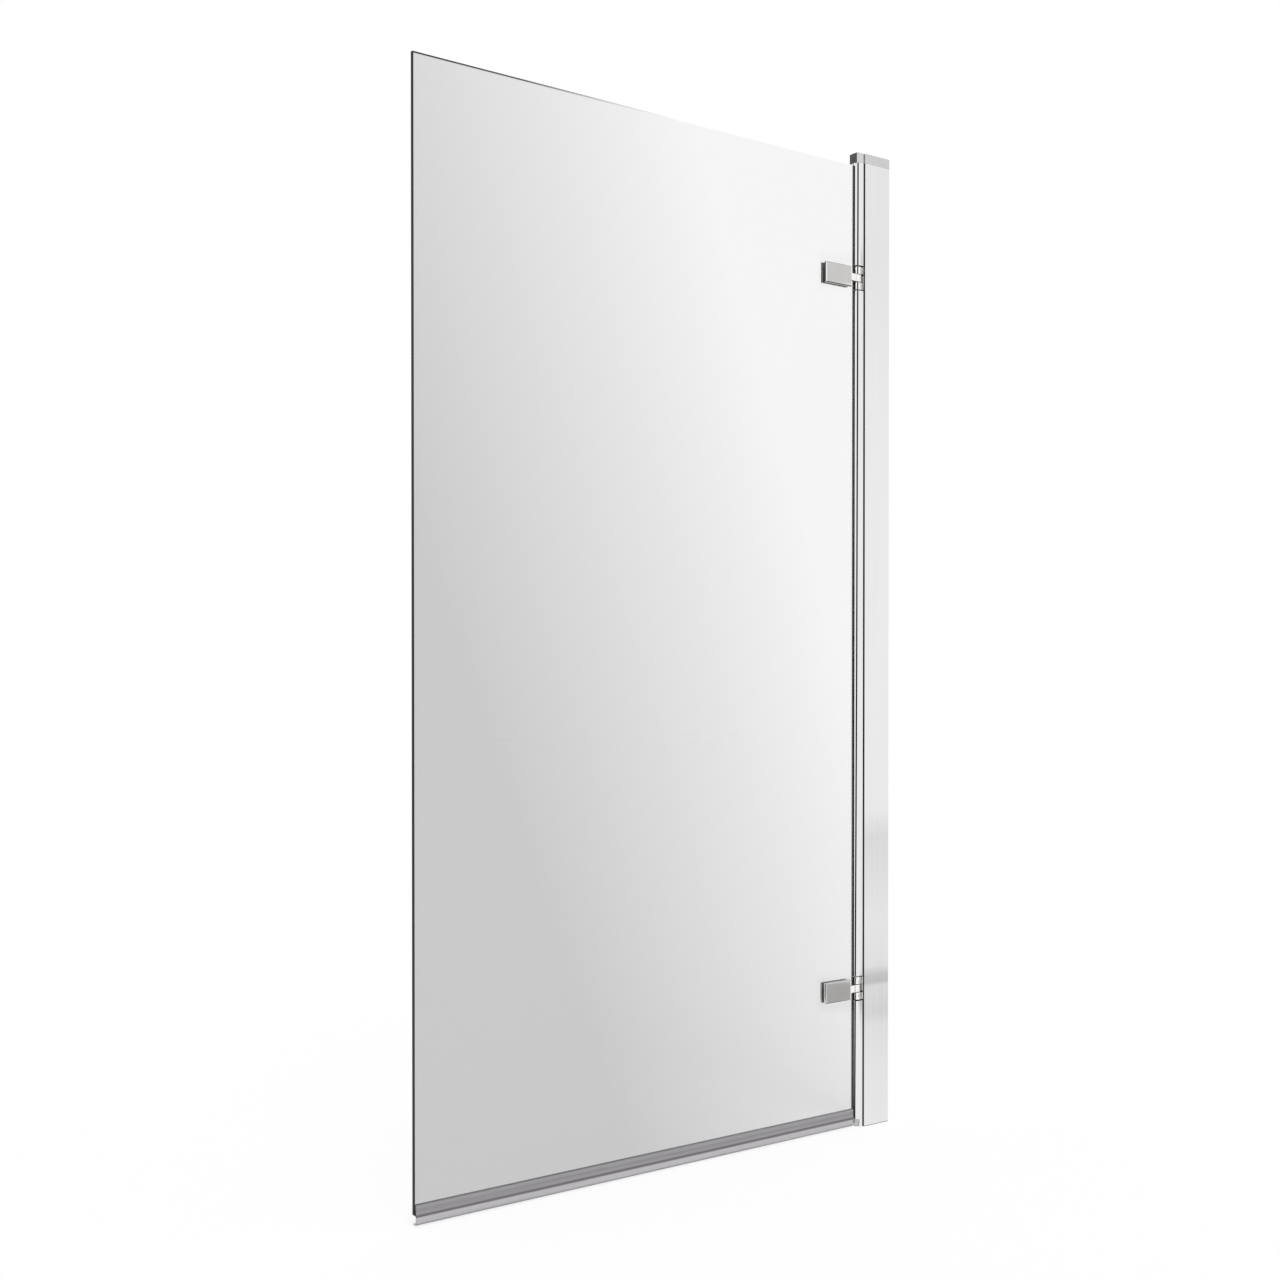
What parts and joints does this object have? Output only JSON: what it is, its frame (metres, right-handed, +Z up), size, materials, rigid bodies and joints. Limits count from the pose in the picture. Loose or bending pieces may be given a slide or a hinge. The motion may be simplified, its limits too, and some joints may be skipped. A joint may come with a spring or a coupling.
{
  "type": "bath screen",
  "caption": "Hinged glass bath screen: a clear pane on two knuckle hinges, hung from a wall profile with an adjustable hinge profile, and a drip seal along the bottom edge.",
  "frame": {"origin": "On the wall face of the wall profile, at the middle of its depth, at its bottom end, which stands on the bath rim.", "axes": "+X is out of the back of the wall profile into the wall, so the pane reaches towards -X. +Y is across the glass towards the bath, and -Y is the room side. +Z is up along the profiles."},
  "size_m": [0.7854, 0.0237, 1.433],
  "materials": {
    "bright_profile": "bright polished extrusion",
    "hinge_chrome": "polished chrome",
    "satin_cap": "satin silver plastic",
    "stainless": "plain stainless steel",
    "nylon": "natural nylon",
    "gasket_rubber": "grey translucent rubber",
    "clear_glass": "clear toughened glass with ground edges",
    "clear_seal": "clear flexible vinyl"
  },
  "bodies": {
    "wall_side": {"wall_profile": "bright_profile", "wall_profile_cap": "satin_cap"},
    "hinge_post": {"hinge_profile": "bright_profile", "hinge_profile_cap": "satin_cap", "hinge_profile_foot": "satin_cap", "lock_screws": "stainless", "lock_screw_washers": "nylon", "lock_screw_covers": "hinge_chrome", "upper_hinge_leaf": "hinge_chrome", "upper_leaf_screws": "stainless", "upper_hinge_pin": "stainless", "upper_thrust_washers": "nylon", "lower_hinge_leaf": "hinge_chrome", "lower_leaf_screws": "stainless", "lower_hinge_pin": "stainless", "lower_thrust_washers": "nylon"},
    "screen": {"glass_panel": "clear_glass", "bottom_seal": "clear_seal", "upper_knuckle_bush": "nylon", "upper_front_clamp": "hinge_chrome", "upper_back_clamp": "hinge_chrome", "upper_front_gasket": "gasket_rubber", "upper_back_gasket": "gasket_rubber", "upper_hole_sleeves": "nylon", "upper_clamp_screws": "stainless", "lower_knuckle_bush": "nylon", "lower_front_clamp": "hinge_chrome", "lower_back_clamp": "hinge_chrome", "lower_front_gasket": "gasket_rubber", "lower_back_gasket": "gasket_rubber", "lower_hole_sleeves": "nylon", "lower_clamp_screws": "stainless"}
  },
  "joints": [
    {"name": "profile_adjust", "type": "slide", "parent": "wall_side", "child": "hinge_post", "axis": [-1, 0, 0], "range_m": [0, 0.015]},
    {"name": "screen_swing", "type": "hinge", "parent": "hinge_post", "child": "screen", "pos_m": [-0.057, 0, 0], "axis": [0, 0, 1], "range_deg": [-90, 90]}
  ]
}
